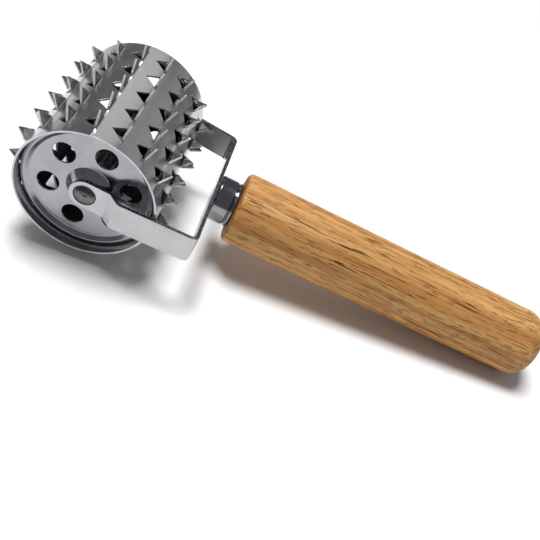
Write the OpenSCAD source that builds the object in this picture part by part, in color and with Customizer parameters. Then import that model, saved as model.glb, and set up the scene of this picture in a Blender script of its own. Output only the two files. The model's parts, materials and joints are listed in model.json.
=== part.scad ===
// Rolling meat tenderiser: a toothed sheet steel drum turns between the arms of a bent steel
// yoke, which a polished ferrule and a stud join to a turned wooden handle.
//
// Every piece is drawn in the tool's own frame: origin at the drum's centre, X towards the
// handle, Y along the axle, Z up. laid_down() then sets the tool on the worktop, where it
// rests on a row of teeth and on the round end of the handle.

/* [Drum] */
// Outside diameter of the drum's sheet
drum_d = 54; // [45:0.5:66]
// Length of the drum along its axle
drum_len = 70.6; // [58:0.2:86]
// Thickness of the drum's sheet
drum_wall = 0.8; // [0.6:0.05:1]

/* [Teeth] */
// Rows of teeth round the drum
tooth_rows = 17; // [12:1:19]
// Spacing of the teeth along a row
tooth_pitch = 13.2; // [11:0.1:16]
// Width of a tooth along its fold
tooth_w = 7.4; // [6:0.1:9]
// Height of a tooth over the drum
tooth_h = 5; // [4:0.1:6]
// Height at which a tooth begins to narrow
tooth_shoulder = 0.6; // [0.4:0.1:1]
// Inside radius of the fold at a tooth's foot
tooth_fold_r = 0.3; // [0.2:0.05:0.5]
// Least plain sheet between the last tooth and the drum's end
tooth_margin = 4.5; // [3:0.5:8]
// Angle of the first row, from the handle's side up over the drum
first_row = 78.8; // [70:0.1:90]

/* [End discs] */
// Thickness of an end disc
disc_wall = 0.8; // [0.6:0.05:1]
// Depth of a disc's flat floor inside the drum's rim
disc_depth = 5.6; // [4:0.1:8]
// Height of the rolled ridge round the floor
ridge_h = 0.8; // [0.6:0.1:1.5]
// Length of the flange that lies against the drum
flange_len = 1.6; // [1:0.1:3]
// Height of the pressed boss round the axle
boss_h = 3.1; // [2.2:0.1:4]
// Width of the flat ring on the boss, round the axle
boss_land = 0.45; // [0.3:0.05:1]
// Least sheet left between a hole and the boss or the ridge
vent_margin = 2.4; // [1.5:0.1:2.8]
// Number of holes
vent_count = 6; // [3:1:6]
// Angle of the first hole
vent_start = 20.4; // [0:0.1:60]

/* [Axle] */
// Diameter of the axle
axle_d = 8.5; // [7:0.1:9]
// Running clearance round the axle in the yoke's eyes
axle_run = 0.08; // [0.02:0.01:0.1]
// Gap between a disc's boss and the yoke's eye
eye_gap = 0.3; // [0.2:0.05:0.6]
// How far the axle's ends stay inside the yoke's outer faces
axle_sink = 0.1; // [0:0.05:0.4]
// Width of the rounding at an axle's end
axle_round = 0.5; // [0.3:0.1:0.8]
// Diameter of the centre mark in an axle's end
axle_mark_d = 1.6; // [1:0.1:2]

/* [Yoke] */
// Width of the yoke's strip
strip_w = 12; // [11:0.5:16]
// Thickness of the strip
strip_t = 1.5; // [1.2:0.1:2]
// Angle at which the arms open towards the drum
arm_splay = 3.4; // [0:0.1:5]
// Gap between an arm and the drum's rim
arm_gap = 0.45; // [0.35:0.05:2]
// Gap between the tooth tips and the yoke's web
web_gap = 10.5; // [6:0.5:20]
// Inside radius of the corners
corner_r = 1.5; // [1:0.1:3]
// Where an arm starts to step in to its eye
step_start = 8; // [7:0.5:10]
// Steepness of that step
step_angle = 42; // [30:1:50]
// Inside radius of the step's bends
step_r = 1; // [0.6:0.1:1.5]

/* [Ferrule and stud] */
// Diameter of the ferrule
ferrule_d = 19; // [16:0.5:24]
// Length of the ferrule
ferrule_len = 9.2; // [7:0.1:14]
// Width of the turned edge at the ferrule's ends
ferrule_edge = 0.6; // [0.4:0.1:0.8]
// Depth of the groove turned near the handle
groove_depth = 0.6; // [0.3:0.1:0.8]
// Distance of the groove from the handle
groove_at = 2; // [2:0.1:4]
// Diameter of the stud that runs into the handle
stud_d = 6; // [5:0.5:8]
// Length of the stud inside the handle
stud_reach = 42; // [25:1:60]
// Gap round a pressed piece in its seat
press_gap = 0.05; // [0.01:0.01:0.05]

/* [Handle] */
// Diameter of the handle
handle_d = 30; // [26:0.5:36]
// Length of the handle
handle_len = 146.5; // [110:0.5:180]
// Rounding of the handle's near edge
handle_edge_r = 2; // [1:0.1:4]
// Rounding where the far end leaves the grip
tail_r = 8; // [6:0.5:10]
// Radius of the shallow dome on the far end
dome_r = 23.3; // [20:0.1:40]
// How far the handle's axis lies under the axle
handle_drop = 1.4; // [0:0.1:3]

/* [Hidden] */
$fa = 3;
$fs = 0.4;
past = 1;  // how far a cut runs past the face it opens
bend_step = 10;  // turn of a bent sheet between two points of its section
fold_step = 30;  // the same in a tooth's small fold

// Drum and teeth
drum_r = drum_d / 2;
drum_half = drum_len / 2;
tip_r = drum_r + tooth_h;
row_angle = 360 / tooth_rows;
fold_mid_r = tooth_fold_r + drum_wall / 2;
fold_lead = (fold_mid_r / drum_r) * 180 / PI;  // angle by which a fold starts before its blade
teeth_in_row = 1 + floor((drum_len - 2 * tooth_margin - tooth_w) / tooth_pitch);
shear_gap = 0.1;  // between a flap and the edge of its opening
fold_swell = 0.04;  // by which the sheet is thicker at a fold
root_len = 0.6;  // of a flap's foot inside the sheet
tooth_places = [for (i = [0 : teeth_in_row - 1]) (i - (teeth_in_row - 1) / 2) * tooth_pitch];

// End discs: heights are measured outwards along the axle from the drum's centre
floor_top = drum_half - disc_depth;
boss_top = floor_top + boss_h;
axle_r = axle_d / 2;
flange_r = drum_r - drum_wall - press_gap - disc_wall / 2;  // middle of the flange's sheet
bore_r = axle_r + press_gap;
boss_slope = 42;  // steepness of the boss's wall
ridge_slope = 25;  // steepness of the rise from the floor to the ridge
disc_bend_r = 0.7;  // inside radius of every bend in a disc
disc_bend_mid = disc_bend_r + disc_wall / 2;
boss_run = ramp_run(boss_h, boss_slope, disc_bend_mid);
boss_foot = bore_r + boss_land + ramp_width(boss_run, boss_slope, disc_bend_mid);
rise_run = ramp_run(ridge_h, ridge_slope, disc_bend_mid);
floor_edge = flange_r - disc_bend_mid - ramp_width(rise_run, ridge_slope, disc_bend_mid);
vent_r = (floor_edge - boss_foot) / 2 - vent_margin;
vent_circle_r = (floor_edge + boss_foot) / 2;

// Yoke
eye_inside = boss_top + eye_gap;
eye_mid = eye_inside + strip_t / 2;
eye_r = axle_r + axle_run;
web_inside = tip_r + web_gap;
web_mid = web_inside + strip_t / 2;
web_outside = web_inside + strip_t;
corner_mid_r = corner_r + strip_t / 2;
step_mid_r = step_r + strip_t / 2;
arm_fall = atan(handle_drop / web_mid);  // slope of an arm seen from the side
// Half the distance between the arms' middles, where they would meet the web
web_half = drum_half + arm_gap + strip_t / 2 / cos(arm_splay) - (web_mid - drum_r) * tan(arm_splay);

// Handle: the fillet and the dome at its far end touch without a corner
stud_r = stud_d / 2;
handle_r = handle_d / 2;
handle_start = web_outside + ferrule_len;
handle_end = handle_start + handle_len;
dome_at = handle_end - dome_r;
tail_at = dome_at + sqrt(pow(dome_r - tail_r, 2) - pow(handle_r - tail_r, 2));

// Pose on the worktop: the lowest row of teeth carries the drum, the far end the handle
tilt = laid_tilt(2);
axle_height = tip_reach(tilt - 90);
left_reach = tip_reach(tilt - 180);
right_reach = dome_at * cos(tilt) - handle_drop * sin(tilt) + dome_r;
origin_shift = (left_reach - right_reach) / 2;

// How far the teeth reach from the axle in a given direction, a tip's own thickness included
function tip_reach(direction) = max([
    for (k = [0 : tooth_rows - 1])
        let (away = first_row + k * row_angle - direction)
            tip_r * cos(away) + drum_wall / 2 * abs(sin(away))
]);

// Tilt at which the handle's far fillet touches the worktop too, refined a few times
function laid_tilt(turn, tries = 6) =
    tries == 0 ? turn : laid_tilt(tail_tilt(tip_reach(turn - 90)), tries - 1);

// Tilt that brings the fillet's ring down to the worktop for a given height of the axle
function tail_tilt(height) =
    let (low = handle_r - tail_r + handle_drop)
    asin((height - tail_r) / norm([tail_at, low])) - atan2(low, tail_at);

// Length of the sloping run that lifts a bent sheet by a given height
function ramp_run(height, angle, mid_r) = (height - 2 * mid_r * (1 - cos(angle))) / sin(angle);

// How far that run and its two bends reach along the sheet's first direction
function ramp_width(run, angle, mid_r) = run * cos(angle) + 2 * mid_r * sin(angle);

// Sets a piece drawn in the tool's frame on the worktop
module laid_down() {
    translate([origin_shift, 0, axle_height]) rotate([0, tilt, 0]) children();
}

// Turns a shape drawn along Z so that it lies along +X
module along_x() {
    rotate([0, 90, 0]) children();
}

// Turns a shape drawn in X and Z so that it lies along the axle, Y
module along_axle() {
    rotate([90, 0, 0]) children();
}

// Outline of a bent sheet's section, along one face and back along the other. The sheet
// starts at a place, heading along X, and a move is [run, turn to the left, inside radius]
function sheet_outline(moves, wall, start = [0, 0], step = bend_step) =
    let (line = concat([[start, 0]], sheet_line(moves, wall, step, start, 0)))
    let (last = len(line) - 1)
    concat(
        [for (i = [0 : last]) line[i][0] + wall / 2 * left_of(line[i][1])],
        [for (i = [last : -1 : 0]) line[i][0] - wall / 2 * left_of(line[i][1])]
    );

// The same sheet's middle line after its start, as pairs of a place and a heading
function sheet_line(moves, wall, step, at, heading, i = 0) =
    let (
        run = moves[i][0],
        turn = moves[i][1],
        mid_r = sign(turn) * (moves[i][2] + wall / 2),
        run_end = at + run * [cos(heading), sin(heading)],
        centre = run_end + mid_r * left_of(heading),
        steps = ceil(abs(turn) / step)
    )
    turn == 0 ? [[run_end, heading]] : concat(
        [for (k = [run > 0 ? 0 : 1 : steps])
            let (way = heading + turn * k / steps) [centre - mid_r * left_of(way), way]],
        sheet_line(moves, wall, step, centre - mid_r * left_of(heading + turn), heading + turn, i + 1)
    );

// Direction that points to the left of a heading
function left_of(heading) = [-sin(heading), cos(heading)];

// A list in the opposite order
function backwards(list) = [for (i = [len(list) - 1 : -1 : 0]) list[i]];

// A slice of a round disc between two angles
module sector(r, from, to) {
    intersection() {
        circle(r = r);
        polygon(concat([[0, 0]], [
            for (part = [0, 0.5, 1])
                let (a = from + part * (to - from)) 2 * r * [cos(a), sin(a)]
        ]));
    }
}

// Outline of a blade seen along the drum's surface, from inside the sheet to its tip
module blade_outline() {
    polygon([
        [-tooth_w / 2, drum_r - drum_wall - past],
        [tooth_w / 2, drum_r - drum_wall - past],
        [tooth_w / 2, drum_r + tooth_shoulder],
        [0, tip_r],
        [-tooth_w / 2, drum_r + tooth_shoulder]
    ]);
}

// The opening that a tooth leaves, laid flat: X runs from the fold to the point
module opening_outline() {
    bend_len = fold_mid_r * PI / 2;
    shoulder_at = bend_len + tooth_shoulder - tooth_fold_r;
    point_at = bend_len + tooth_h - tooth_fold_r + shear_gap;
    side_at = tooth_w / 2 + shear_gap;
    polygon([[0, -side_at], [shoulder_at, -side_at], [point_at, 0], [shoulder_at, side_at],
        [0, side_at]]);
}

// A tooth at the top of the drum, its fold at the origin of X: the flap is folded straight out.
// Its root runs back into the sheet, and swells over it a little where the fold begins
module tooth_blade() {
    flap = sheet_outline([[0, 90 - fold_lead, tooth_fold_r], [tooth_h, 0, 0]],
        drum_wall + fold_swell, step = fold_step);
    root = [[-root_len, drum_wall / 4], [-root_len, -drum_wall / 4]];
    intersection() {
        translate([0, tooth_w / 2, drum_r - drum_wall / 2]) along_axle()
            linear_extrude(tooth_w) polygon(concat(flap, backwards(root)));
        rotate([90, 0, 90]) translate([0, 0, -root_len - past])
            linear_extrude(root_len + 2 * fold_mid_r + 2 * past) blade_outline();
    }
}

// Cuts the opening of that tooth through the sheet
module tooth_opening() {
    translate([0, 0, drum_r - drum_wall - past])
        linear_extrude(drum_wall + 2 * past) opening_outline();
}

// Repeats a tooth or its opening over the whole drum
module every_tooth() {
    for (k = [0 : tooth_rows - 1], y = tooth_places)
        rotate([0, 90 - first_row - k * row_angle + fold_lead, 0])
            translate([0, y, 0]) mirror([1, 0, 0]) children();
}

// The drum's sheet with its teeth punched and folded out
module drum_shell() {
    color("silver") laid_down() {
        difference() {
            translate([0, drum_half, 0]) along_axle() difference() {
                cylinder(r = drum_r, h = drum_len);
                translate([0, 0, -past]) cylinder(r = drum_r - drum_wall, h = drum_len + 2 * past);
            }
            every_tooth() tooth_opening();
        }
        every_tooth() tooth_blade();
    }
}

// Section of an end disc: boss, floor, ridge and the flange turned into the drum
module disc_section() {
    polygon(sheet_outline([
        [boss_land, -boss_slope, disc_bend_r],
        [boss_run, boss_slope, disc_bend_r],
        [floor_edge - boss_foot, ridge_slope, disc_bend_r],
        [rise_run, -ridge_slope - 90, disc_bend_r],
        [flange_len, 0, 0]
    ], disc_wall, [bore_r, boss_top - disc_wall / 2]));
}

// The disc on the -Y side, with its ring of holes
module end_disc() {
    laid_down() along_axle() difference() {
        rotate_extrude() disc_section();
        for (i = [0 : vent_count - 1])
            rotate(vent_start + i * 360 / vent_count)
                translate([vent_circle_r, 0, floor_top - disc_wall - past])
                    cylinder(r = vent_r, h = disc_wall + 2 * past);
    }
}

module near_end_disc() {
    color("gainsboro") end_disc();
}

module far_end_disc() {
    color("gainsboro") mirror([0, 1, 0]) end_disc();
}

// The axle is fast in both discs and turns in the yoke's eyes; its ends are rounded and marked
module axle() {
    half = eye_inside + strip_t - axle_sink;
    color("gray") laid_down() along_axle() difference() {
        rotate_extrude() for (side = [0, 1]) mirror([0, side]) {
            square([axle_r, half - axle_round]);
            square([axle_r - axle_round, half]);
            translate([axle_r - axle_round, half - axle_round]) sector(axle_round, 0, 90);
        }
        for (side = [0, 1]) mirror([0, 0, side]) translate([0, 0, half - axle_mark_d / 4])
            cylinder(d1 = 0, d2 = 2 * axle_mark_d, h = axle_mark_d / 2);
    }
}

// Plan of the yoke's strip, from the end of one eye round the web to the end of the other
module yoke_plan() {
    step_rise = step_mid_r * (1 + cos(arm_splay) - 2 * cos(step_angle));
    step_reach = step_start + step_mid_r * (2 * sin(step_angle) + sin(arm_splay));
    step_run = (web_half + tan(arm_splay) * (web_mid - step_reach) - eye_mid - step_rise)
        / (sin(step_angle) + tan(arm_splay) * cos(step_angle));
    arm_start = step_reach + step_run * cos(step_angle);
    arm_run = (web_mid - corner_mid_r * (1 - sin(arm_splay)) - arm_start) / cos(arm_splay);
    arm_end = eye_mid + step_rise + step_run * sin(step_angle) - arm_run * sin(arm_splay);
    web_run = 2 * (arm_end - corner_mid_r * cos(arm_splay));
    eye_run = step_start + strip_w / 2;
    polygon(sheet_outline([
        [eye_run, step_angle, step_r],
        [step_run, -step_angle - arm_splay, step_r],
        [arm_run, arm_splay - 90, corner_r],
        [web_run, arm_splay - 90, corner_r],
        [arm_run, -step_angle - arm_splay, step_r],
        [step_run, step_angle, step_r],
        [eye_run, 0, 0]
    ], strip_t, [-strip_w / 2, eye_mid]));
}

// Side of the strip: a round eye, and an arm that runs straight down to the web
module yoke_side() {
    circle(d = strip_w);
    rotate(-arm_fall) translate([0, -strip_w / 2]) square([web_outside + strip_w, strip_w]);
}

// One strip of steel, bent to a U, stepped in at both ends and pierced for axle and stud
module yoke() {
    span = 2 * (drum_half + strip_w);
    color("lightgray") laid_down() difference() {
        intersection() {
            translate([0, 0, -strip_w]) linear_extrude(2 * strip_w) yoke_plan();
            translate([0, span / 2, 0]) along_axle() linear_extrude(span) yoke_side();
        }
        translate([0, span / 2, 0]) along_axle() cylinder(r = eye_r, h = span);
        translate([web_inside - past, 0, -handle_drop]) along_x()
            cylinder(r = stud_r + press_gap, h = strip_t + 2 * past);
    }
}

// Turned collar between the web and the handle, with a groove near the wood
module ferrule() {
    r = ferrule_d / 2;
    color("silver") laid_down() translate([web_outside, 0, -handle_drop]) along_x()
        rotate_extrude() polygon([
            [stud_r + press_gap, 0],
            [r - ferrule_edge, 0],
            [r, ferrule_edge],
            [r, ferrule_len - groove_at - groove_depth],
            [r - groove_depth, ferrule_len - groove_at],
            [r, ferrule_len - groove_at + groove_depth],
            [r, ferrule_len - ferrule_edge],
            [r - ferrule_edge, ferrule_len],
            [stud_r + press_gap, ferrule_len]
        ]);
}

// Rod that is riveted flush in the web and runs through the ferrule into the wood
module handle_stud() {
    color("darkgray") laid_down() translate([web_inside, 0, -handle_drop]) along_x()
        cylinder(r = stud_r, h = strip_t + ferrule_len + stud_reach);
}

// Half the handle's section: near edge rounded, far end a fillet and a shallow dome
module handle_section() {
    dome_edge = atan2(tail_at - dome_at, handle_r - tail_r);
    translate([0, handle_start]) square([handle_r - handle_edge_r, tail_at - handle_start]);
    translate([0, handle_start + handle_edge_r])
        square([handle_r, tail_at - handle_start - handle_edge_r]);
    translate([handle_r - handle_edge_r, handle_start + handle_edge_r])
        sector(handle_edge_r, -90, 0);
    translate([handle_r - tail_r, tail_at]) sector(tail_r, 0, dome_edge);
    translate([0, dome_at]) sector(dome_r, dome_edge, 90);
}

// Turned wooden grip, bored for the stud
module handle() {
    color("burlywood") laid_down() translate([0, 0, -handle_drop]) along_x() difference() {
        rotate_extrude() handle_section();
        translate([0, 0, handle_start - past])
            cylinder(r = stud_r + press_gap, h = past + stud_reach + press_gap);
    }
}

drum_shell();
near_end_disc();
far_end_disc();
axle();
yoke();
ferrule();
handle_stud();
handle();
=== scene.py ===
"""Finish and studio for a rolling meat tenderizer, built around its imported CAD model.

The CAD model gives every piece its size and place. This file gives each piece its surface:
satin sheet steel on the toothed drum, pressed steel on the discs, a turned axle, a polished
strip and ferrule, and oiled open-pored wood. Lengths are metres in the model's own frame,
except where a comment or a docstring says millimetres.
"""

import json
import math

import bmesh
import bpy
from bpy.props import FloatProperty, FloatVectorProperty, PointerProperty
from mathutils import Matrix, Vector


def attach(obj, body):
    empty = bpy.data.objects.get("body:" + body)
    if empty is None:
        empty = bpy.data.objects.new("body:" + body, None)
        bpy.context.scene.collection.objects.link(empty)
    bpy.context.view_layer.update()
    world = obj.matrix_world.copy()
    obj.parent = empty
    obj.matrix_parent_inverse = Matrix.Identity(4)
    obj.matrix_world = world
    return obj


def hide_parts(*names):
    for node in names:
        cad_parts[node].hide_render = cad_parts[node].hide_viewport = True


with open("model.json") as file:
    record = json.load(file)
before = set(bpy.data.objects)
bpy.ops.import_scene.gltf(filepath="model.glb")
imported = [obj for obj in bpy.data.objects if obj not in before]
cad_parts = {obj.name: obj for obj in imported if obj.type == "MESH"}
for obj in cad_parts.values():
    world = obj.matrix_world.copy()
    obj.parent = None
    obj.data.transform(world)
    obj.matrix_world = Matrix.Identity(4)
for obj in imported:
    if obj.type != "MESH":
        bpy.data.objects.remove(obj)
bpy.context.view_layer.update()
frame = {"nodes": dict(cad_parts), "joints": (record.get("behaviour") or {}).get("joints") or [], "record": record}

bl_info = {
    "name": "Rolling Meat Tenderizer",
    "version": (1, 0, 0),
    "blender": (4, 5, 0),
    "location": "View3D > Sidebar > Tenderizer",
    "description": "Finishes the pieces of a rolling meat tenderizer and sets up its studio",
    "category": "Object",
}

MM = 0.001
ALONG, AXLE, UP = range(3)  # the model's X, Y and Z

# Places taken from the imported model's record
AXLE_PLACE = Vector(frame["joints"][0]["pos_m"])
GRIP_AXIS = Vector(frame["record"]["mounts"][0]["axis"])
TILT = math.atan2(-GRIP_AXIS.z, GRIP_AXIS.x)
ROW_DEGREES = 360 / 17


def linear(red, green, blue):
    """A colour written as display values from 0 to 255, as the linear one that nodes take."""

    def one(value):
        value /= 255
        return value / 12.92 if value <= 0.04045 else ((value + 0.055) / 1.055) ** 2.4

    return one(red), one(green), one(blue)


def color_property(name, description, default):
    """A colour setting."""
    return FloatVectorProperty(
        name=name, description=description, default=default, size=3, min=0, max=1, subtype="COLOR"
    )


def share_property(name, description, default):
    """A setting that goes from 0 to 1."""
    return FloatProperty(
        name=name, description=description, default=default, min=0, max=1, subtype="FACTOR"
    )


def length_property(name, description, default):
    """A length setting in metres, which the sidebar shows to a hundredth of a millimetre."""
    return FloatProperty(
        name=name, description=description, default=default, min=0, subtype="DISTANCE",
        unit="LENGTH", precision=5,
    )


def angle_property(name, description, degrees):
    """An angle setting, whose default is written in degrees."""
    return FloatProperty(
        name=name, description=description, default=math.radians(degrees), subtype="ANGLE",
        unit="ROTATION",
    )


def power_property(name, description, watts):
    """The power of a lamp."""
    return FloatProperty(name=name, description=description, default=watts, min=0, unit="POWER")


class DrumSettings(bpy.types.PropertyGroup):
    """Finish of the toothed drum's sheet."""

    sheet_color: color_property("Sheet", "Colour of the satin sheet", linear(184, 186, 186))
    # Painted shade: a dark colour for the drum's inner face, standing in for the shade inside the closed drum
    painted_inside_shade: color_property("Inside", "Colour of the dull inner face", linear(48, 49, 52))
    edge_color: color_property("Sheared edges", "Colour of bright edges", linear(226, 228, 230))
    roughness: share_property("Roughness", "How satin the sheet is", 0.22)
    edge_round: length_property("Edge rounding", "Width of rounding on sheared edges", 0.07 * MM)
    flatness: share_property("Flatness", "How flat the sheet stays between rows of teeth", 0.6)
    radius: length_property("Radius", "Outside radius of the sheet", 27 * MM)
    inner_half: length_property("Closed half", "Distance from middle to an end disc", 30 * MM)
    row_turn: angle_property("Row turn", "Turn from one row of teeth to the next", ROW_DEGREES)
    first_row: angle_property("First row", "Place of the first row of teeth", 78.8)


class DiscSettings(bpy.types.PropertyGroup):
    """Finish of the two pressed end discs."""

    sheet_color: color_property("Disc", "Colour of the pressed discs", linear(163, 164, 169))
    # Painted shade: a dark colour for the discs' inner faces, standing in for the shade inside the drum
    painted_inside_shade: color_property("Inside", "Colour of the dull inner face", linear(60, 61, 64))
    edge_color: color_property("Hole edges", "Colour of the holes' edges", (0.85, 0.85, 0.86))
    roughness: share_property("Roughness", "How satin the discs are", 0.16)
    edge_round: length_property("Edge rounding", "Width of rounding round the holes", 0.12 * MM)


class AxleSettings(bpy.types.PropertyGroup):
    """Finish of the axle and of the stud in the handle."""

    steel_color: color_property("Axle", "Colour of the turned steel", linear(112, 112, 110))
    roughness: share_property("Roughness", "How rough the turned steel is", 0.24)
    radius: length_property("Radius", "Radius of the axle", 4.25 * MM)
    dome_low: length_property("Dome drop", "How far the dome's top lies below centre", 2.3 * MM)
    dome_depth: length_property("Dome depth", "How deep the faint dome looks", 1.3 * MM)


class YokeSettings(bpy.types.PropertyGroup):
    """Finish of the bent strip that carries the drum."""

    strip_color: color_property("Strip", "Colour of the polished strip", linear(182, 183, 185))
    shear_color: color_property("Sheared edges", "Dark colour in the edges", linear(70, 70, 74))
    roughness: share_property("Roughness", "How polished the strip is", 0.17)
    edge_round: length_property("Edge rounding", "Width of rounding along the strip", 0.15 * MM)


class FerruleSettings(bpy.types.PropertyGroup):
    """Finish of the polished collar."""

    chrome_color: color_property("Collar", "Colour of the polished collar", linear(146, 148, 152))
    roughness: share_property("Roughness", "How polished the collar is", 0.07)
    edge_round: length_property("Edge rounding", "Width of rounding on turned edges", 0.15 * MM)


class HandleSettings(bpy.types.PropertyGroup):
    """Finish of the wooden grip."""

    light_color: color_property("Light wood", "Colour between the rings", linear(217, 168, 104))
    dark_color: color_property("Dark wood", "Colour of the late rings", linear(180, 124, 66))
    pore_color: color_property("Pores", "Colour inside the open pores", linear(90, 50, 20))
    end_color: color_property("End grain", "Colour of the cut ends", linear(140, 86, 44))
    roughness: share_property("Roughness", "How matt the oiled wood is", 0.56)


class StudioSettings(bpy.types.PropertyGroup):
    """Floor, lights and camera."""

    floor_color: color_property("Floor", "Colour of the pale floor", (0.92, 0.92, 0.92))
    room_color: color_property("Room", "Colour of the surroundings", (0.165, 0.168, 0.176))
    key: power_property("Key", "Power of the key lamp", 25.5)
    back: power_property("Back", "Power of the lamp behind", 0.75)
    side: power_property("Side", "Power of the lamp at the side", 0.95)
    lens: FloatProperty(
        name="Lens", description="Focal length of the camera in millimetres", default=47.813,
        min=1, subtype="DISTANCE_CAMERA",
    )


def color4(color):
    """A colour with the fourth number that sockets want."""
    return (*color[:3], 1.0)


class Finish:
    """A material under construction, with short ways to add and join its nodes."""

    def __init__(self, name):
        self.material = bpy.data.materials.new(name)
        self.material.use_nodes = True
        self.tree = self.material.node_tree
        self.tree.nodes.clear()
        self.surface = self.add("ShaderNodeBsdfPrincipled")
        self.add("ShaderNodeOutputMaterial", {"Surface": self.surface.outputs[0]})
        coordinates = self.add("ShaderNodeTexCoord")
        self.place = coordinates.outputs["Object"]
        self.normal = coordinates.outputs["Normal"]

    def feed(self, socket, value):
        """Joins another node's output to a socket, or sets the socket to a value."""
        if isinstance(value, bpy.types.NodeSocket):
            self.tree.links.new(value, socket)
        else:
            socket.default_value = value

    def add(self, kind, inputs=None, **settings):
        """A new node with these settings; an input takes a value or another node's output."""
        node = self.tree.nodes.new(kind)
        for key, value in settings.items():
            setattr(node, key, value)
        for key, value in (inputs or {}).items():
            self.feed(node.inputs[key], value)
        return node

    def surface_takes(self, **inputs):
        """Feeds the shader's own sockets, named with low lines for blanks."""
        for key, value in inputs.items():
            self.feed(self.surface.inputs[key.replace("_", " ")], value)
        return self.material

    def math(self, operation, *values):
        """The outcome of a sum on numbers."""
        node = self.add("ShaderNodeMath", dict(enumerate(values)), operation=operation)
        return node.outputs[0]

    def plus(self, first, second):
        """Two numbers added."""
        return self.math("ADD", first, second)

    def minus(self, first, second):
        """The second number taken from the first."""
        return self.math("SUBTRACT", first, second)

    def times(self, first, second):
        """Two numbers multiplied."""
        return self.math("MULTIPLY", first, second)

    def left_by(self, share):
        """What a share leaves of one."""
        return self.minus(1.0, share)

    def vector(self, operation, *values):
        """The outcome of a sum on vectors."""
        node = self.add("ShaderNodeVectorMath", dict(enumerate(values)), operation=operation)
        return node.outputs["Value" if operation == "DOT_PRODUCT" else "Vector"]

    def parts(self, vector):
        """The three numbers in a vector."""
        return self.add("ShaderNodeSeparateXYZ", {"Vector": vector}).outputs[:3]

    def on_tool(self, size=(1, 1, 1)):
        """Coordinates from the axle's middle with X along the tool, divided by a size."""
        turned = {"Vector": self.place, "Location": AXLE_PLACE, "Rotation": (0, TILT, 0)}
        node = self.add("ShaderNodeMapping", {**turned, "Scale": size}, vector_type="TEXTURE")
        return node.outputs[0]

    def from_axle(self):
        """Distance from the axle's line."""
        x, _, z = self.parts(self.on_tool())
        return self.math("SQRT", self.plus(self.times(x, x), self.times(z, z)))

    def facing(self, axis):
        """How far a face looks along one of the model's axes, from 0 to 1."""
        return self.math("ABSOLUTE", self.parts(self.normal)[axis])

    def noise(self, vector, detail, roughness=0.5, distortion=0.0, scale=1.0):
        """Noise from 0 to 1 over some coordinates."""
        inputs = {"Vector": vector, "Scale": scale, "Detail": detail}
        shape = {"Roughness": roughness, "Distortion": distortion}
        return self.add("ShaderNodeTexNoise", {**inputs, **shape}).outputs["Fac"]

    def marks(self, sizes, detail, roughness=0.5):
        """Noise on the tool, whose marks have these sizes in millimetres along X, Y and Z."""
        size = [length * MM for length in sizes]
        return self.noise(self.on_tool(size), detail, roughness)

    def rings(self, width, detail, sway=0.0):
        """Noise in rings round the axle's line, of this width in millimetres, bent by a sway."""
        step = self.times(self.from_axle(), 1 / (width * MM))
        place = self.add("ShaderNodeCombineXYZ", {0: step, 1: sway}).outputs[0]
        return self.noise(place, detail)

    def between(self, value, low, high, to=(0.0, 1.0)):
        """A value taken smoothly from the range low to high to another range."""
        inputs = {"Value": value, "From Min": low, "From Max": high}
        inputs.update({"To Min": to[0], "To Max": to[1]})
        node = self.add("ShaderNodeMapRange", inputs, interpolation_type="SMOOTHSTEP")
        return node.outputs["Result"]

    def mixed(self, share, first, second):
        """The first colour where the share is 0, and the second where it is 1."""
        first, second = (
            color if isinstance(color, bpy.types.NodeSocket) else color4(color)
            for color in (first, second)
        )
        node = self.add("ShaderNodeMix", {0: share, 6: first, 7: second}, data_type="RGBA")
        return node.outputs[2]

    def toned(self, value, span, color, darkest, lightest):
        """A colour times darkest to times lightest, as the value goes through its span."""
        return self.mixed(self.between(value, *span), color * darkest, color * lightest)

    def worn(self, clouds, fine, roughness, drift, ripple):
        """A roughness that drifts with the clouds, and ripples with finer marks."""
        low, high = (roughness + step for step in drift)
        slow = self.between(clouds, *DRIFT_SPAN, to=(low, high))
        return self.plus(slow, self.between(fine, *FINE_SPAN, to=ripple))

    def bump(self, height, depth, strength=1.0, under=None):
        """A dented surface, on top of another where one is given."""
        inputs = {"Height": height, "Distance": depth, "Strength": strength}
        if under is not None:
            inputs["Normal"] = under
        return self.add("ShaderNodeBump", inputs).outputs[0]


# Spans of a noise's values: all of its drift, and the middle of fine marks and of clouds
DRIFT_SPAN = 0.25, 0.8
FINE_SPAN = 0.3, 0.7
CLOUD_SPAN = 0.3, 0.72

# Where one part of a piece's surface gives way to the next: start and end of the change
BLADE_FOOT = 0.15 * MM, 0.9 * MM  # over the drum's sheet
DRUM_LIP = 4.5 * MM, 5 * MM  # past the drum's closed half
DISC_HOLES = 22.5 * MM, 21.5 * MM  # inwards to the axle
YOKE_BEND = 40.5 * MM, 42 * MM  # from the axle, where the arms turn into the web


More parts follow.
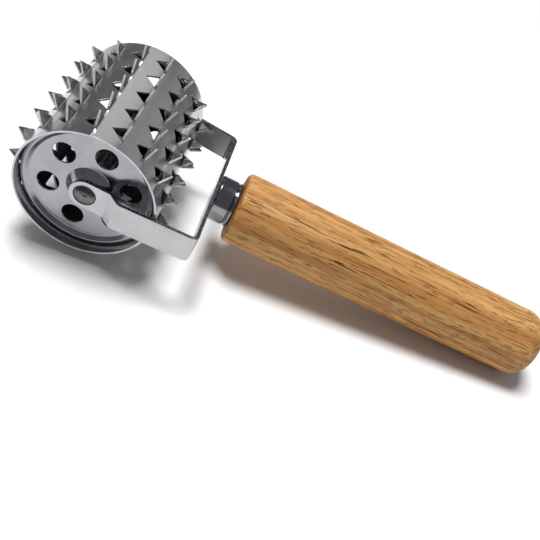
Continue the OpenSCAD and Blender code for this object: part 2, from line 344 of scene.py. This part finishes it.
def drum_steel(settings):
    """Satin sheet with bright sheared edges and a rougher inside, flatter between rows of teeth. Painted shade
    darkens the inside and the teeth, and painted glints lie on the teeth.
    """
    finish = Finish("drum_steel")
    sheet = settings.sheet_color
    x, y, z = finish.parts(finish.on_tool())
    to_side = finish.math("ABSOLUTE", y)
    grain = finish.marks((0.3, 7, 0.3), detail=3)
    clouds = finish.marks((11, 16, 11), detail=4, roughness=0.6)
    scuffs = finish.marks((0.7, 2.4, 0.7), detail=5, roughness=0.7)
    glints = finish.marks((5, 2.6, 5), detail=2)

    # The teeth, and the sheared edges, which show less on the drum's lip
    foot, body = (settings.radius + height for height in BLADE_FOOT)
    on_blade = finish.between(finish.from_axle(), foot, body)
    lip_start, lip_end = (settings.inner_half + step for step in DRUM_LIP)
    on_lip = finish.between(to_side, lip_start, lip_end)
    lost = finish.times(on_lip, finish.between(clouds, *FINE_SPAN, to=(0.95, 0.6)))
    edge = finish.times(finish.between(finish.facing(AXLE), 0.18, 0.4), finish.left_by(lost))

    # The outer face, and the inner one between the discs, where shade is painted in dark
    from_middle = finish.vector("NORMALIZE", finish.vector("SUBTRACT", finish.place, AXLE_PLACE))
    outward = finish.vector("DOT_PRODUCT", from_middle, finish.normal)
    outside = finish.between(outward, -0.1, 0.1)
    within = finish.between(to_side, settings.inner_half, settings.inner_half - 1 * MM)
    shaded_inside = finish.times(finish.between(outward, -0.25, -0.5), within)
    shaded_inside = finish.times(shaded_inside, finish.left_by(on_blade))

    # The flats between rows: what a circle falls away from its tangent, added back in part
    turn = finish.math("DIVIDE", finish.math("ARCTAN2", z, x), settings.row_turn)
    row = finish.math("FRACT", finish.minus(turn, settings.first_row / settings.row_turn))
    across = finish.minus(row, 0.5)
    flats = finish.times(finish.times(across, across), outside)
    flats_depth = settings.flatness * settings.radius / 2 * settings.row_turn**2

    # The first share is painted shade on the teeth; the others set roughness and the edges' paleness
    blade_painted_shade, blade_polish, inside_dull, edge_pale = 0.75, 0.14, 0.2, 0.55
    tone = finish.toned(clouds, CLOUD_SPAN, sheet, darkest=0.88, lightest=1.06)
    tone = finish.mixed(finish.between(scuffs, 0.62, 0.8, to=(0, 0.18)), tone, sheet * 0.6)
    # Painted shade: the teeth's faces are darkened towards half the sheet's colour, a dark reflection painted in
    tone = finish.mixed(finish.times(on_blade, blade_painted_shade), tone, sheet * 0.5)
    # Painted glints: bright spots in the edge colour are mixed into the teeth's faces
    painted_glint = finish.times(on_blade, finish.between(glints, 0.4, 0.65, to=(0, 0.4)))
    tone = finish.mixed(painted_glint, tone, settings.edge_color * 0.8)
    # Painted shade: the inner face between the discs takes the dark inside colour
    tone = finish.mixed(shaded_inside, tone, settings.painted_inside_shade)
    tone = finish.mixed(edge, tone, settings.edge_color)
    rough = finish.worn(
        clouds, grain, settings.roughness, drift=(-0.05, 0.08), ripple=(-0.012, 0.014)
    )
    rough = finish.minus(rough, finish.times(on_blade, blade_polish))
    rough = finish.plus(rough, finish.times(shaded_inside, inside_dull))
    metal = finish.left_by(finish.times(edge, edge_pale))
    shape = finish.bump(flats, flats_depth)
    shape = finish.bump(finish.times(glints, on_blade), depth=0.8 * MM, under=shape)
    ripples = finish.times(grain, outside)
    shape = finish.bump(ripples, depth=0.0007 * MM, strength=0.6, under=shape)
    return finish.surface_takes(Metallic=metal, Base_Color=tone, Roughness=rough, Normal=shape)


def disc_steel(settings):
    """Pressed sheet steel, with faint rings from the press, bright edges in its holes, and painted shade on its
    inner faces.
    """
    finish = Finish("disc_steel")
    sheet = settings.sheet_color
    clouds = finish.marks((9, 9, 9), detail=4, roughness=0.6)
    scuffs = finish.marks((0.3, 3, 1.6), detail=5, roughness=0.7)
    rings = finish.rings(width=0.5, detail=3, sway=finish.times(clouds, 2.0))

    steep = finish.between(finish.facing(AXLE), 0.3, 0.1)
    in_holes = finish.times(steep, finish.between(finish.from_axle(), *DISC_HOLES))
    _, side, _ = finish.parts(finish.on_tool())
    _, face, _ = finish.parts(finish.normal)
    # Faces turned into the drum, where shade is painted in
    shaded_inner_face = finish.between(finish.times(face, finish.math("SIGN", side)), -0.3, -0.6)

    edge_share = 0.8
    tone = finish.toned(clouds, CLOUD_SPAN, sheet, darkest=0.88, lightest=1.04)
    tone = finish.mixed(finish.between(scuffs, 0.63, 0.8, to=(0, 0.3)), tone, sheet * 0.6)
    tone = finish.mixed(finish.times(in_holes, edge_share), tone, settings.edge_color)
    # Painted shade: the discs' inner faces take the dark inside colour
    tone = finish.mixed(shaded_inner_face, tone, settings.painted_inside_shade)
    rough = finish.worn(
        clouds, rings, settings.roughness, drift=(-0.05, 0.09), ripple=(-0.03, 0.04)
    )
    shape = finish.bump(rings, depth=0.006 * MM, strength=0.5)
    return finish.surface_takes(Metallic=1.0, Base_Color=tone, Roughness=rough, Normal=shape)


def turned_steel(settings):
    """Dark turned steel, with fine tool rings and a faint, dented dome on its ends."""
    finish = Finish("axle_steel")
    clouds = finish.marks((3, 3, 3), detail=4, roughness=0.65)
    dents = finish.marks((2.2, 2.2, 2.2), detail=2)
    rings = finish.rings(width=0.16, detail=2)

    # The dome falls away from its top with the square of the distance
    dent_share = 0.16
    x, _, z = finish.parts(finish.on_tool())
    low = finish.plus(z, settings.dome_low)
    away = finish.plus(finish.times(x, x), finish.times(low, low))
    fall = finish.math("DIVIDE", away, settings.radius**2)
    dome = finish.minus(finish.times(dents, dent_share), fall)
    on_end = finish.between(finish.facing(AXLE), 0.6, 0.9)

    tone = finish.toned(clouds, FINE_SPAN, settings.steel_color, darkest=0.72, lightest=1.1)
    dull, duller = settings.roughness - 0.08, settings.roughness + 0.14
    rough = finish.between(clouds, 0.2, 0.8, to=(dull, duller))
    shape = finish.bump(finish.times(dome, on_end), settings.dome_depth)
    shape = finish.bump(rings, depth=0.006 * MM, strength=0.8, under=shape)
    return finish.surface_takes(Metallic=1.0, Base_Color=tone, Roughness=rough, Normal=shape)


def strip_steel(settings):
    """Polished strip with fine grain along its length and torn, sheared edges."""
    finish = Finish("yoke_steel")
    strip = settings.strip_color
    clouds = finish.marks((10, 10, 10), detail=4, roughness=0.6)
    arm_grain = finish.marks((12, 0.22, 0.22), detail=3)
    web_grain = finish.marks((0.22, 12, 0.22), detail=3)
    torn = finish.marks((0.5, 0.4, 2), detail=3, roughness=0.65)
    x, _, _ = finish.parts(finish.on_tool())
    on_web = finish.between(x, *YOKE_BEND)
    on_arms = finish.left_by(on_web)
    grain = finish.plus(finish.times(arm_grain, on_arms), finish.times(web_grain, on_web))
    edge = finish.between(finish.facing(UP), 0.8, 0.94)

    edge_dull = 0.16
    tone = finish.toned(clouds, CLOUD_SPAN, strip, darkest=0.88, lightest=1.05)
    tone = finish.mixed(finish.between(grain, 0.62, 0.78, to=(0, 0.3)), tone, strip * 0.6)
    torn_tone = finish.mixed(finish.between(torn, 0.5, 0.62), settings.shear_color, strip)
    tone = finish.mixed(edge, tone, torn_tone)
    rough = finish.worn(
        clouds, grain, settings.roughness, drift=(-0.05, 0.08), ripple=(-0.04, 0.05)
    )
    rough = finish.plus(rough, finish.times(edge, edge_dull))
    shape = finish.bump(finish.times(torn, edge), depth=0.12 * MM)
    shape = finish.bump(grain, depth=0.008 * MM, strength=0.5, under=shape)
    return finish.surface_takes(Metallic=1.0, Base_Color=tone, Roughness=rough, Normal=shape)


def collar_steel(settings):
    """Mirror-polished collar with faint lathe rings and a few wipe marks."""
    finish = Finish("ferrule_steel")
    rings = finish.marks((0.12, 30, 30), detail=2)
    wipes = finish.marks((6, 4, 4), detail=5, roughness=0.65)
    tone = finish.toned(wipes, (0.3, 0.75), settings.chrome_color, darkest=0.9, lightest=1.0)
    wiped = settings.roughness + 0.1
    rough = finish.between(wipes, 0.3, 0.8, to=(settings.roughness, wiped))
    shape = finish.bump(rings, depth=0.003 * MM, strength=0.4)
    return finish.surface_takes(Metallic=1.0, Base_Color=tone, Roughness=rough, Normal=shape)


def handle_wood(settings):
    """Oiled hardwood: soft rings, long fibres, and short open pores along the grain."""
    finish = Finish("handle_wood")
    light, dark = settings.light_color, settings.dark_color
    sway = finish.marks((55, 22, 22), detail=1)
    wander_width = 3.2 * MM
    wander = finish.times(finish.minus(sway, 0.5), wander_width)
    drift = finish.add("ShaderNodeCombineXYZ", {1: wander, 2: wander}).outputs[0]
    grain_at = finish.vector("ADD", finish.on_tool(), drift)

    def streaks(length, width, detail, roughness=0.5, distortion=0.0):
        """Noise drawn out along the grain, of this length and width in millimetres."""
        share = (1 / (length * MM), 1 / (width * MM), 1 / (width * MM))
        return finish.noise(
            finish.vector("MULTIPLY", grain_at, share), detail, roughness, distortion
        )

    rings = streaks(150, 4.4, detail=3, roughness=0.55, distortion=0.4)
    bands = streaks(60, 2.2, detail=2)
    fibres = streaks(14, 0.34, detail=4, roughness=0.7)
    short = streaks(8, 0.34, detail=1)
    long = streaks(24, 0.42, detail=1)
    flecks = streaks(1.6, 0.5, detail=2)

    # Pores crowd in the bands; a noise over a threshold is a pore
    crowd = finish.between(bands, 0.38, 0.6)
    short_crowd, long_crowd = 0.045, 0.04
    short = finish.plus(short, finish.times(crowd, short_crowd))
    long = finish.plus(long, finish.times(crowd, long_crowd))
    pore = finish.math(
        "MAXIMUM", finish.between(short, 0.65, 0.685), finish.between(long, 0.67, 0.7)
    )

    fibre_height, pore_dull = 0.35, 0.2
    tone = finish.mixed(finish.between(rings, 0.34, 0.66), light, dark)
    tone = finish.mixed(finish.between(fibres, 0.4, 0.74, to=(0, 0.34)), tone, dark * 0.84)
    tone = finish.mixed(finish.between(fibres, 0.42, 0.26, to=(0, 0.35)), tone, light * 1.1)
    tone = finish.mixed(finish.between(flecks, 0.66, 0.76, to=(0, 0.3)), tone, light * 1.15)
    tone = finish.mixed(pore, tone, settings.pore_color)
    on_end = finish.between(finish.facing(ALONG), 0.55, 0.98, to=(0, 0.7))
    tone = finish.mixed(on_end, tone, settings.end_color)
    smooth, matt = settings.roughness - 0.06, settings.roughness + 0.08
    rough = finish.between(fibres, *FINE_SPAN, to=(smooth, matt))
    rough = finish.plus(rough, finish.times(pore, pore_dull))
    height = finish.minus(finish.times(fibres, fibre_height), pore)
    shape = finish.bump(height, depth=0.06 * MM, strength=0.8)
    return finish.surface_takes(
        Metallic=0.0, Base_Color=tone, Roughness=rough, Normal=shape, Specular_IOR_Level=0.3
    )


# The disc's ridge in the CAD section, and where the pressed part shows each point of it:
# radius and height over the drum's middle, in millimetres, outer face and then under face
RIDGE_OUTSIDE = (
    ((22.45, 29.70), (22.45, 29.70)),
    ((22.55, 29.71), (22.60, 29.72)),
    ((22.65, 29.73), (22.72, 29.78)),
    ((22.74, 29.77), (22.82, 29.86)),
    ((24.02, 30.36), (24.10, 31.00)),
    ((24.25, 30.45), (24.22, 31.09)),
    ((24.75, 30.50), (24.46, 31.15)),
    ((25.23, 30.38), (24.86, 31.10)),
    ((25.66, 30.11), (25.36, 30.92)),
    ((25.97, 29.72), (25.82, 30.58)),
    ((26.13, 29.25), (26.10, 30.12)),
    ((26.15, 29.00), (26.15, 29.80)),
    ((26.15, 27.40), (26.15, 27.40)),
)
RIDGE_UNDER = (
    ((22.66, 28.92), (22.72, 28.94)),
    ((22.88, 28.96), (22.96, 29.02)),
    ((23.08, 29.04), (23.20, 29.18)),
    ((24.35, 29.63), (24.50, 30.27)),
    ((24.70, 29.70), (24.76, 30.40)),
    ((25.12, 29.52), (25.14, 30.24)),
    ((25.35, 29.00), (25.35, 29.70)),
    ((25.35, 27.40), (25.35, 27.40)),
)
RIDGE_STARTS = 22.5  # millimetres from the axle's line
RIDGE_REACH = 0.12  # millimetres from a section line to a point that belongs to it


def crisp_ridge(radius, height):
    """Draws a disc's ridge steeper and its shoulder squarer, as the press leaves them."""
    point = Vector((radius, height))
    nearest, moved = RIDGE_REACH, point
    for table in (RIDGE_OUTSIDE, RIDGE_UNDER):
        for (first, first_new), (last, last_new) in zip(table, table[1:]):
            first = Vector(first)
            step = Vector(last) - first
            share = (point - first).dot(step) / step.length_squared
            share = min(max(share, 0.0), 1.0)
            away = (first + step * share - point).length
            if away < nearest:
                nearest, moved = away, Vector(first_new).lerp(Vector(last_new), share)
    return moved


def reshape_disc(shape):
    """Moves the points of a disc's ridge round the axle's line, and no other point."""
    for vert in shape.verts:
        from_axle = (vert.co - AXLE_PLACE) / MM
        radius = math.hypot(from_axle.x, from_axle.z)
        side = math.copysign(1.0, from_axle.y)
        if radius > RIDGE_STARTS:
            new_radius, new_height = crisp_ridge(radius, abs(from_axle.y))
            share = new_radius / radius
            moved = Vector((from_axle.x * share, side * new_height, from_axle.z * share))
            vert.co = AXLE_PLACE + moved * MM


def placed(name, data):
    """A new object in the scene that holds this mesh, lamp or camera."""
    thing = bpy.data.objects.new(name, data)
    bpy.context.scene.collection.objects.link(thing)
    return thing


def paint(node, material):
    """Gives a CAD piece its finish."""
    piece = frame["nodes"][node]
    piece.data.materials.clear()
    piece.data.materials.append(material)


WELD = 0.001 * MM  # corners closer than this are the same corner
FLAT = math.radians(0.4)  # faces that meet at a smaller turn are made one face
SHARP_TURN = 35  # degrees
ROUND_STEPS = 2


def softened(
    node, body, material, width, sharp=SHARP_TURN, shortest=0.0, join_flat=True, reshape=None
):
    """Stands for a CAD piece with a closed copy of it whose sharp edges are slightly rounded.

    An edge is rounded to this width where its faces meet at more than sharp degrees and it is
    longer than shortest. Flat neighbours are joined first, except where join_flat is off.
    """
    shape = bmesh.new()
    shape.from_mesh(frame["nodes"][node].data)
    bmesh.ops.remove_doubles(shape, verts=shape.verts, dist=WELD)
    if reshape:
        reshape(shape)
    if join_flat:
        bmesh.ops.dissolve_limit(shape, angle_limit=FLAT, verts=shape.verts, edges=shape.edges)
    bmesh.ops.recalc_face_normals(shape, faces=shape.faces)
    for face in shape.faces:
        face.smooth = True
    weight = shape.edges.layers.float.new("bevel_weight_edge")
    for edge in shape.edges:
        turn = edge.calc_face_angle(0.0)
        rounded = turn > math.radians(sharp) and edge.calc_length() > shortest
        edge[weight] = 1.0 if rounded else 0.0
    mesh = bpy.data.meshes.new(node + "_finished")
    shape.to_mesh(mesh)
    shape.free()
    if "custom_normal" in mesh.attributes:
        mesh.attributes.remove(mesh.attributes["custom_normal"])
    mesh.set_sharp_from_angle(angle=math.radians(sharp))
    mesh.materials.append(material)
    piece = placed(node + "_finished", mesh)
    bevel = piece.modifiers.new("rounded_edges", "BEVEL")
    bevel.width = width
    bevel.segments = ROUND_STEPS
    bevel.limit_method = "WEIGHT"
    bevel.use_clamp_overlap = False
    bevel.harden_normals = True
    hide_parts(node)
    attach(piece, body)


class TENDERIZER_OT_drum(bpy.types.Operator):
    """Finish the toothed sheet of the drum"""

    bl_idname = "tenderizer.drum"
    bl_label = "Drum"

    def execute(self, context):
        settings = context.scene.tenderizer_drum
        softened(
            "drum_shell", "roller", drum_steel(settings), settings.edge_round,
            sharp=55, shortest=0.5 * MM, join_flat=False,
        )
        return {"FINISHED"}


class TENDERIZER_OT_discs(bpy.types.Operator):
    """Finish the two pressed end discs"""

    bl_idname = "tenderizer.discs"
    bl_label = "End discs"

    def execute(self, context):
        settings = context.scene.tenderizer_discs
        material = disc_steel(settings)
        for node in ("near_end_disc", "far_end_disc"):
            softened(
                node, "roller", material, settings.edge_round, reshape=reshape_disc
            )
        return {"FINISHED"}


class TENDERIZER_OT_axle(bpy.types.Operator):
    """Finish the axle, and the stud inside the handle"""

    bl_idname = "tenderizer.axle"
    bl_label = "Axle and stud"

    def execute(self, context):
        material = turned_steel(context.scene.tenderizer_axle)
        for node in ("axle", "handle_stud"):
            paint(node, material)
        return {"FINISHED"}


class TENDERIZER_OT_yoke(bpy.types.Operator):
    """Finish the bent strip that carries the drum"""

    bl_idname = "tenderizer.yoke"
    bl_label = "Yoke"

    def execute(self, context):
        settings = context.scene.tenderizer_yoke
        softened("yoke", "frame", strip_steel(settings), settings.edge_round)
        return {"FINISHED"}


class TENDERIZER_OT_ferrule(bpy.types.Operator):
    """Finish the polished collar"""

    bl_idname = "tenderizer.ferrule"
    bl_label = "Ferrule"

    def execute(self, context):
        settings = context.scene.tenderizer_ferrule
        softened("ferrule", "frame", collar_steel(settings), settings.edge_round)
        return {"FINISHED"}


class TENDERIZER_OT_handle(bpy.types.Operator):
    """Finish the wooden grip"""

    bl_idname = "tenderizer.handle"
    bl_label = "Handle"

    def execute(self, context):
        paint("handle", handle_wood(context.scene.tenderizer_handle))
        return {"FINISHED"}


# The camera's place, the way that it looks, and its upright
CAMERA_PLACE = Vector((-0.040035, -0.232118, 0.209954))
CAMERA_LOOK = Vector((0.110026, 0.737485, -0.666341))
CAMERA_UP = Vector((-0.366208, 0.653326, 0.662613))
SENSOR_WIDTH = 36.0  # millimetres
NEAREST_SEEN = 0.01

# Each lamp's place, the point that it looks at, and its width and height
LAMPS = {
    "key": ((-0.33, 0.17, 1.45), (0, 0, 0), (0.55, 0.55)),
    "back": ((-0.31, 1.35, 1.0), (-0.05, 0, 0.03), (0.6, 0.5)),
    "side": ((0.95, 1.25, 0.75), (-0.05, 0, 0.03), (1.1, 0.9)),
}
FLOOR_HALF = 3.0  # from the floor's middle to each side
PAPER_SCALE = 40.0
PAPER_LIGHTEST = 1.01


def aimed(place, target, roll_up=Vector((0, 0, 1))):
    """A turned frame at a place that looks at a target, as cameras and lamps look along -Z."""
    back = (place - target).normalized()
    side = roll_up.cross(back).normalized()
    up = back.cross(side)
    turned = Matrix((side, up, back)).transposed().to_4x4()
    turned.translation = place
    return turned


def softbox(name, power, place, target, size):
    """A soft lamp with a rectangular face."""
    lamp = bpy.data.lights.new(name, "AREA")
    lamp.shape = "RECTANGLE"
    lamp.size, lamp.size_y = size
    lamp.energy = power
    placed(name, lamp).matrix_world = aimed(Vector(place), Vector(target))


def studio_floor(settings):
    """A pale floor that keeps the tool's shadow and shows almost white to the camera."""
    sheet = bmesh.new()
    bmesh.ops.create_grid(sheet, x_segments=1, y_segments=1, size=FLOOR_HALF)
    mesh = bpy.data.meshes.new("studio_floor")
    sheet.to_mesh(mesh)
    sheet.free()
    finish = Finish("studio_floor")
    paper = finish.noise(finish.place, detail=2, scale=PAPER_SCALE)
    color = settings.floor_color
    pale = finish.mixed(paper, color, color * PAPER_LIGHTEST)
    mesh.materials.append(
        finish.surface_takes(Base_Color=pale, Roughness=0.9, Specular_IOR_Level=0.1)
    )
    floor = placed("studio_floor", mesh)


def studio_world(settings):
    """Even, rather dark surroundings, so that the steel keeps its contrast."""
    world = bpy.data.worlds.new("studio")
    bpy.context.scene.world = world
    world.use_nodes = True
    around = world.node_tree.nodes["Background"]
    around.inputs["Color"].default_value = color4(settings.room_color)
    around.inputs["Strength"].default_value = 1.0


def studio_camera(settings):
    """The camera that sees the tool as the photograph does."""
    camera = bpy.data.cameras.new("camera")
    camera.lens = settings.lens
    camera.sensor_width = SENSOR_WIDTH
    camera.clip_start = NEAREST_SEEN
    held = placed("camera", camera)
    held.matrix_world = aimed(CAMERA_PLACE, CAMERA_PLACE + CAMERA_LOOK, CAMERA_UP)
    bpy.context.scene.camera = held


class TENDERIZER_OT_stage(bpy.types.Operator):
    """Set up the pale floor, the soft lamps and the camera"""

    bl_idname = "tenderizer.stage"
    bl_label = "Stage"

    def execute(self, context):
        settings = context.scene.tenderizer_stage
        studio_floor(settings)
        studio_world(settings)
        for name, lamp in LAMPS.items():
            softbox(name, getattr(settings, name), *lamp)
        studio_camera(settings)
        context.scene.view_settings.view_transform = "Standard"
        return {"FINISHED"}


class TENDERIZER_PT_panel(bpy.types.Panel):
    """Lists the tool's pieces and its stage, each with its settings"""

    bl_label = "Tenderizer"
    bl_space_type = "VIEW_3D"
    bl_region_type = "UI"
    bl_category = "Tenderizer"

    def draw(self, context):
        for name, _, operator in STEPS:
            self.layout.operator(operator.bl_idname)
            settings = getattr(context.scene, f"tenderizer_{name}")
            for key in settings.__annotations__:
                self.layout.prop(settings, key)


# Each step in its order: its name, its settings, and the operator that carries it out
STEPS = (
    ("drum", DrumSettings, TENDERIZER_OT_drum),
    ("discs", DiscSettings, TENDERIZER_OT_discs),
    ("axle", AxleSettings, TENDERIZER_OT_axle),
    ("yoke", YokeSettings, TENDERIZER_OT_yoke),
    ("ferrule", FerruleSettings, TENDERIZER_OT_ferrule),
    ("handle", HandleSettings, TENDERIZER_OT_handle),
    ("stage", StudioSettings, TENDERIZER_OT_stage),
)


def register():
    """Adds the settings, the operators and the panel."""
    for name, group, operator in STEPS:
        bpy.utils.register_class(group)
        setattr(bpy.types.Scene, f"tenderizer_{name}", PointerProperty(type=group))
        bpy.utils.register_class(operator)
    bpy.utils.register_class(TENDERIZER_PT_panel)


def unregister():
    """Takes the panel, the operators and the settings away again."""
    bpy.utils.unregister_class(TENDERIZER_PT_panel)
    for name, group, operator in reversed(STEPS):
        bpy.utils.unregister_class(operator)
        delattr(bpy.types.Scene, f"tenderizer_{name}")
        bpy.utils.unregister_class(group)


def main():
    """Finishes every piece and sets up the stage."""
    register()
    for name, _, _ in STEPS:
        getattr(bpy.ops.tenderizer, name)()


if __name__ == "__main__":
    main()
